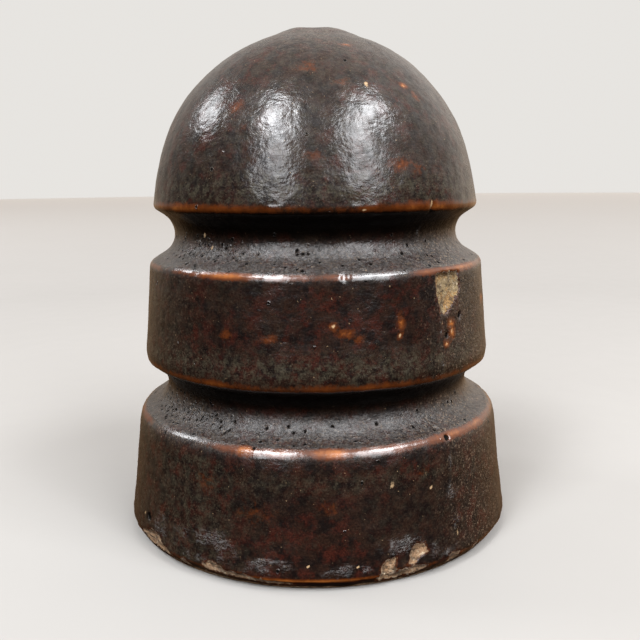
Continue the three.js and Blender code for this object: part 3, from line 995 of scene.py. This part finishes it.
def mottled_glaze(f, grain, coarse):
    """Black, brown and dark red, then film, grey shelves partly painted as sheen, flecks, frost, sand with
    painted sparkle, and painted shade under the lips.
    """
    shelf = f.mask("shelf")
    film = f.mask("film")
    drift = f.noise(13.0, 3, 0.5, 3)
    filmed = f.most(film, f.times(f.step(drift, 0.56, 0.36), 0.22))
    return f.coats(
        f.mix(f.step(f.noise(2.4, 5, 0.68, 2), 0.39, 0.61), BLACK, BROWN),
        (RED, f.times(f.step(f.noise(2.3, 5, 0.7, 4), 0.46, 0.66), f.step(drift, 0.32, 0.56)), 0.85),
        (OLIVE, f.times(f.step(f.noise(1.2, 5, 0.78, 5), 0.42, 0.64), filmed), 0.85),
        # Up-facing shelves: the glaze's satin grey, partly painted sheen
        (GREY_AND_SHEEN, f.times(shelf, f.step(f.noise(0.7, 5, 0.75, 6), 0.36, 0.62)), 0.8),
        (FLECK, f.step(grain, 0.55, 0.74), f.blend(f.most(coarse, film), 0.22, 0.9)),
        (BLACK, f.step(grain, 0.53, 0.38), f.blend(coarse, 0.6, 0.9)),
        # Sand: grainy glaze whose pale flecks are painted sparkle on the flanks, top and shelves
        (SAND_SPARKLE, f.step(f.noise(0.4, 2, 0.7, 20), 0.555, 0.7),
         f.add(f.times(f.mask("sand_and_sparkle"), 0.38), f.times(shelf, 0.18))),
        (GRIT, f.step(f.noise(0.42, 1, 0.5, 16), 0.755, 0.81), 0.35),
        # Painted shade: near-black under the lips
        (SHADE_BLACK, f.mask("lip_shade"), 0.97),
    )


def thin_glaze(f, colour):
    """Rust and orange on the crystal spots and the thin edges."""
    ragged = f.noise(1.1, 5, 0.72, 7)
    crystals = f.frayed(f.mask("rust"), ragged, 1.1)
    thin = f.frayed(f.mask("breaks"), ragged, 0.7)
    return f.coats(
        colour,
        (RUST, f.step(crystals, 0.16, 0.6), 0.8),
        (ORANGE, f.step(crystals, 0.5, 0.95), 0.75),
        (RUST, f.step(thin, 0.22, 0.6), 0.9),
        (ORANGE, f.step(thin, 0.55, 1.15), 0.7),
    )


def pinholes(f):
    """Masks of the pinholes and pits, and of the craters round the pinholes."""
    spot, chance = f.cells(0.85, 9)
    sown = f.most(f.mask("pitted"), f.times(f.mask("shelf"), 0.13))
    sown = f.times(sown, f.step(f.mask("breaks"), 0.3, 0.08))
    picked = f.sum("LESS_THAN", chance, f.blend(sown, 0.003, 0.9))
    hole = f.times(f.step(spot, f.blend(chance, 0.36, 0.2), f.blend(chance, 0.24, 0.1)), picked)
    crater = f.times(f.step(spot, 0.5, 0.36), picked)
    return f.most(hole, f.step(f.mask("pit"), -0.08, 0.1)), crater


def broken_glaze(f, colour):
    """The colour with its chips, and the mask of their bare clay."""
    inside = f.frayed(f.mask("chip"), f.noise(0.9, 5, 0.75, 10), 1.5)
    chipped = f.step(inside, -0.02, 0.05)
    lip = f.times(f.step(inside, -0.3, -0.06), f.step(inside, 0.04, -0.02))
    fresh = f.times(f.step(inside, 0.16, 0.04), f.step(f.noise(1.0, 3, 0.6, 18), 0.46, 0.58))
    clay = f.coats(clay_colour(f), (CLAY_PALE, fresh, 0.5))
    return f.mix(chipped, f.coats(colour, (RUST, lip, 0.5)), clay), chipped


def glaze_relief(f, grain, streak, coarse, gloss):
    """Height of the pebbles, wrinkles, ripples and sand, calmer on the glossy edges."""
    pebble = f.times(f.noise(0.55, 2, 0.6, 12), f.blend(coarse, 0.042, 0.100))
    wrinkle = f.times(f.noise(1.2, 2, 0.5, 17, (1, 1, 1.7)), 0.06)
    ripple = f.times(f.times(streak, 0.28), f.mask("scuff_and_glint"))
    sand = f.times(grain, f.blend(coarse, 0.004, 0.090))
    calm = f.rest(f.times(f.sum("MINIMUM", f.times(gloss, 1.2), 1.0), 0.8))
    return f.times(f.add(pebble, wrinkle, ripple, sand), calm)


def glaze_mirror(f, gloss, hole):
    """How strongly it mirrors: in clouds, most on the edges, least in the painted shade under the lips and
    in holes.
    """
    cloudy = f.blend(f.step(f.noise(1.7, 4, 0.72, 19), 0.36, 0.64), 0.3, 0.56)
    glossy = f.most(cloudy, f.times(gloss, 0.75))
    return f.times(glossy, f.rest(f.times(f.most(f.mask("lip_shade"), hole), 0.84)))


def outer_glaze_finish():
    """Iron-brown glaze with all its wear."""
    f = Finish("iron_brown_glaze")
    gloss = f.mask("edge_gloss")
    coarse = f.most(f.mask("shelf"), f.mask("sand_and_sparkle"))
    grain = f.noise(0.3, 3, 0.8, 1)
    streak = f.noise(0.8, 4, 0.75, 8, (1, 1, 2.2))

    colour = thin_glaze(f, mottled_glaze(f, grain, coarse))
    worn = f.most(f.mask("scuff_and_glint"), f.times(f.mask("seam"), 1.4))
    # Rubbed scuffs and seam go grey and rougher; on the scuffs the grey streaks are partly painted glints
    rubbed_and_glinting = f.times(f.step(streak, 0.51, 0.64), f.times(worn, 0.65))
    speck = f.step(f.frayed(f.mask("speck"), grain, 0.8), 0.25, 0.6)
    colour = f.coats(f.mix(rubbed_and_glinting, colour, RUBBED_GREY_AND_GLINT), (GRIT, speck, 0.85))
    hole, crater = pinholes(f)
    # Pinholes and pits are painted near-black as shade
    colour, chipped = broken_glaze(f, f.mix(hole, colour, SHADE_BLACK))

    dull = f.times(f.noise(2.6, 4, 0.66, 11), 0.22)
    roughness = f.add(0.135, dull, f.times(coarse, 0.08), f.times(rubbed_and_glinting, 0.3), f.times(gloss, -0.11))
    roughness = f.blend(f.most(chipped, hole), roughness, 0.85)
    stone = f.add(f.times(f.noise(0.8, 4, 0.65, 14), 0.7), f.times(grain, 0.1))
    height = f.blend(chipped, glaze_relief(f, grain, streak, coarse, gloss), stone)
    height = f.add(height, f.times(hole, -0.18), f.times(crater, 0.09))
    mirror = glaze_mirror(f, gloss, hole)
    return f.finish(colour, roughness, height, **{"IOR": GLAZE_IOR, "Specular IOR Level": mirror})


def clay_finish():
    """Bare fired clay, darker along the bottom of the thread."""
    f = Finish("fired_clay")
    # Darker along the bottom of the thread
    root_dark = f.step(f.add(f.mask("root"), f.times(f.noise(1.5, 4, 0.6, 21), 0.8)), 0.8, 1.4)
    colour = f.coats(clay_colour(f), (CLAY_DIRT, root_dark, 0.7))
    height = f.add(f.times(f.noise(0.5, 3, 0.65, 22), 0.12), f.times(f.noise(0.16, 2, 0.5, 23), 0.04))
    roughness = f.add(0.78, f.times(f.noise(1.2, 3, 0.5, 24), 0.2))
    return f.finish(colour, roughness, height)


def inner_glaze_finish():
    """Brown slip glaze with streaks down the wall and a few pinholes."""
    f = Finish("brown_slip_glaze")
    streaks = f.noise(2.4, 4, 0.6, 31, (1, 1, 0.3))
    spot, chance = f.cells(2.2, 34)
    hole = f.times(f.step(spot, 0.11, 0.07), f.sum("LESS_THAN", chance, 0.2))
    colour = f.coats(
        f.mix(f.step(streaks, 0.38, 0.64), BLACK, BROWN),
        (RED, f.step(f.noise(1.6, 4, 0.65, 32), 0.54, 0.7), 0.7),
        (OLIVE, f.step(f.noise(0.3, 2, 0.6, 33), 0.6, 0.75), 0.4),
        # Pinholes painted black as shade
        (BLACK, hole, 1.0),
    )
    height = f.add(f.times(f.noise(0.9, 2, 0.5, 35), 0.06), f.times(hole, -0.15))
    roughness = f.add(0.28, f.times(f.noise(2.0, 3, 0.6, 36), 0.2))
    return f.finish(colour, roughness, height, IOR=SLIP_GLAZE_IOR)


# ---- pieces on the frame

def put(piece, material, node):
    """A finished piece gets its material, rides on the one body and stands for its CAD node, which is
    hidden.
    """
    piece.data.materials.append(material)
    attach(piece, "root")
    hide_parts(node)


put(make_body(), clay_finish(), "porcelain_body")
put(make_outer_glaze(), outer_glaze_finish(), "outer_glaze")
put(make_inner_glaze(), inner_glaze_finish(), "inner_glaze")

# ---- stage, lights and camera

# A floor that grows paler with distance, to look even
FLOOR_RADIUS = 2500.0
FLOOR_SIDES = 96
FLOOR_NEAR = 300.0
FLOOR_PALE = (0.335, 0.325, 0.31)
FLOOR_PALER = (0.35, 0.34, 0.325)
FLOOR_FAR = (0.85, 0.83, 0.79)


def floor_finish():
    f = Finish("pale_floor")
    near = f.mix(f.noise(60.0, 3, 0.5, 41), FLOOR_PALE, FLOOR_PALER)
    away = f.node("VectorMath", {0: f.place}, operation="LENGTH").outputs["Value"]
    far = f.node("MapRange", {"Value": away, "From Min": FLOOR_NEAR, "From Max": FLOOR_RADIUS})
    colour = f.mix(far.outputs[0], near, FLOOR_FAR)
    roughness = f.add(0.6, f.times(f.noise(8.0, 2, 0.5, 42), 0.1))
    return f.finish(colour, roughness, f.times(f.noise(2.0, 2, 0.5, 43), 0.01))


def make_floor():
    """A floor that the camera sees but the insulator neither mirrors nor is lit by."""
    turns = [2 * math.pi * i / FLOOR_SIDES for i in range(FLOOR_SIDES)]
    rim = [(FLOOR_RADIUS * MM * math.cos(a), FLOOR_RADIUS * MM * math.sin(a), 0) for a in turns]
    mesh = bpy.data.meshes.new("floor")
    mesh.from_pydata(rim, [], [list(range(FLOOR_SIDES))])
    floor = add_object("floor", mesh)
    floor.location.z = cad_box[0].z
    mesh.materials.append(floor_finish())
    floor.visible_glossy = False
    floor.visible_diffuse = False


# Soft lights: azimuth and elevation of the middle, angles across and up, and radiance
LIGHT_DISTANCE = 1500.0
LIGHT_COLOUR = (0.95, 0.97, 1.0)
SOFT_LIGHTS = [
    (-42, 55, 13, 18, 30.0),
    (-28, 43, 16, 16, 13.5),
    (-28, 26, 16, 18, 9.0),
    (60, 52, 18, 15, 20.0),
    (37, 43, 22, 17, 13.0),
    (37, 26, 21, 18, 8.0),
    (-108, 38, 14, 12, 16.0),
]


def aim(obj, azimuth, elevation):
    """Places a light in that direction, facing the insulator."""
    a, e = math.radians(azimuth), math.radians(elevation)
    away = Vector((math.sin(a) * math.cos(e), -math.cos(a) * math.cos(e), math.sin(e)))
    obj.location = away * LIGHT_DISTANCE * MM + Vector((0, 0, HEIGHT / 2 * MM))
    obj.rotation_mode = "QUATERNION"
    obj.rotation_quaternion = away.to_track_quat("Z", "Y")


def light_width(degrees):
    return 2 * LIGHT_DISTANCE * MM * math.tan(math.radians(degrees / 2))


def make_lights():
    for i, (azimuth, elevation, across, up, radiance) in enumerate(SOFT_LIGHTS):
        light = bpy.data.lights.new(f"soft_light_{i}", "AREA")
        light.shape = "RECTANGLE"
        light.size = light_width(across)
        light.size_y = light_width(up)
        light.energy = radiance * math.pi * light.size * light.size_y
        light.color = LIGHT_COLOUR
        aim(add_object(light.name, light), azimuth, elevation)


# What the glaze mirrors, as (sine of elevation, colour), in front and behind
ROOM_FRONT = [
    (-1.0, (0.020, 0.012, 0.009)),
    (-0.05, (0.028, 0.014, 0.008)),
    (0.12, (0.050, 0.036, 0.029)),
    (0.34, (0.44, 0.405, 0.385)),
    (0.65, (0.74, 0.67, 0.63)),
    (1.0, (1.0, 0.92, 0.87)),
]
ROOM_BACK = [
    (-1.0, (0.020, 0.012, 0.009)),
    (-0.35, (0.22, 0.115, 0.05)),
    (-0.08, (0.58, 0.39, 0.23)),
    (0.04, (0.74, 0.63, 0.52)),
    (0.5, (1.05, 0.98, 0.92)),
    (1.0, (1.0, 0.92, 0.87)),
]

# What the camera sees behind the floor
BACKDROP = (0.8, 0.78, 0.75)

# How bright the room is on the far left and right
LEFT_BRIGHTNESS = 0.34
RIGHT_BRIGHTNESS = 1.4


def colour_ramp(nodes, position, stops):
    """Colours by a position from 0 to 1, from stops at a sine from -1 to 1."""
    ramp = nodes.node("ValToRGB", {0: position})
    elements = ramp.color_ramp.elements
    while len(elements) < len(stops):
        elements.new(1.0)
    for element, (sine, colour) in zip(elements, stops):
        element.position = (sine + 1) / 2
        element.color = (*colour, 1)
    return ramp.outputs[0]


def make_world():
    world = bpy.data.worlds.new("studio")
    world.use_nodes = True
    nodes = Nodes(world.node_tree)
    direction = nodes.node("TexCoord").outputs["Generated"]
    x, y, z = nodes.node("SeparateXYZ", {0: direction}).outputs
    height = nodes.node("MapRange", {"Value": z, "From Min": -1}).outputs[0]
    behind = nodes.node("MapRange", {"Value": y, "From Min": -0.1, "From Max": 0.6}).outputs[0]
    front, back = (colour_ramp(nodes, height, stops) for stops in (ROOM_FRONT, ROOM_BACK))
    sides = {"Value": x, "From Min": -1, "To Min": LEFT_BRIGHTNESS, "To Max": RIGHT_BRIGHTNESS}
    side = nodes.node("MapRange", sides).outputs[0]
    seen = nodes.node("LightPath").outputs["Is Camera Ray"]
    background = nodes.node("Background", {
        "Color": nodes.mix(seen, nodes.mix(behind, front, back), BACKDROP),
        "Strength": nodes.blend(seen, side, 1.0),
    })
    nodes.node("OutputWorld", {"Surface": background.outputs[0]})
    bpy.context.scene.world = world


# Camera: its place (mm), pitch and roll (degrees), lens and sensor (mm), nearest and farthest view (m)
CAMERA_PLACE = (0.78, -141.4, 61.9)
CAMERA_PITCH = 10.61
CAMERA_ROLL = -0.61
CAMERA_LENS = 43.3
CAMERA_SENSOR = 36.0
CAMERA_NEAREST = 0.01
CAMERA_FARTHEST = 10.0


def make_camera():
    camera = add_object("camera", bpy.data.cameras.new("camera"))
    camera.data.lens = CAMERA_LENS
    camera.data.sensor_width = CAMERA_SENSOR
    camera.data.clip_start = CAMERA_NEAREST
    camera.data.clip_end = CAMERA_FARTHEST
    tilt = Matrix.Rotation(math.radians(90 - CAMERA_PITCH), 4, "X")
    lean = Matrix.Rotation(math.radians(CAMERA_ROLL), 4, "Z")
    camera.matrix_world = Matrix.Translation(Vector(CAMERA_PLACE) * MM) @ tilt @ lean
    bpy.context.scene.camera = camera


make_floor()
make_lights()
make_world()
make_camera()
bpy.context.scene.view_settings.view_transform = "Standard"
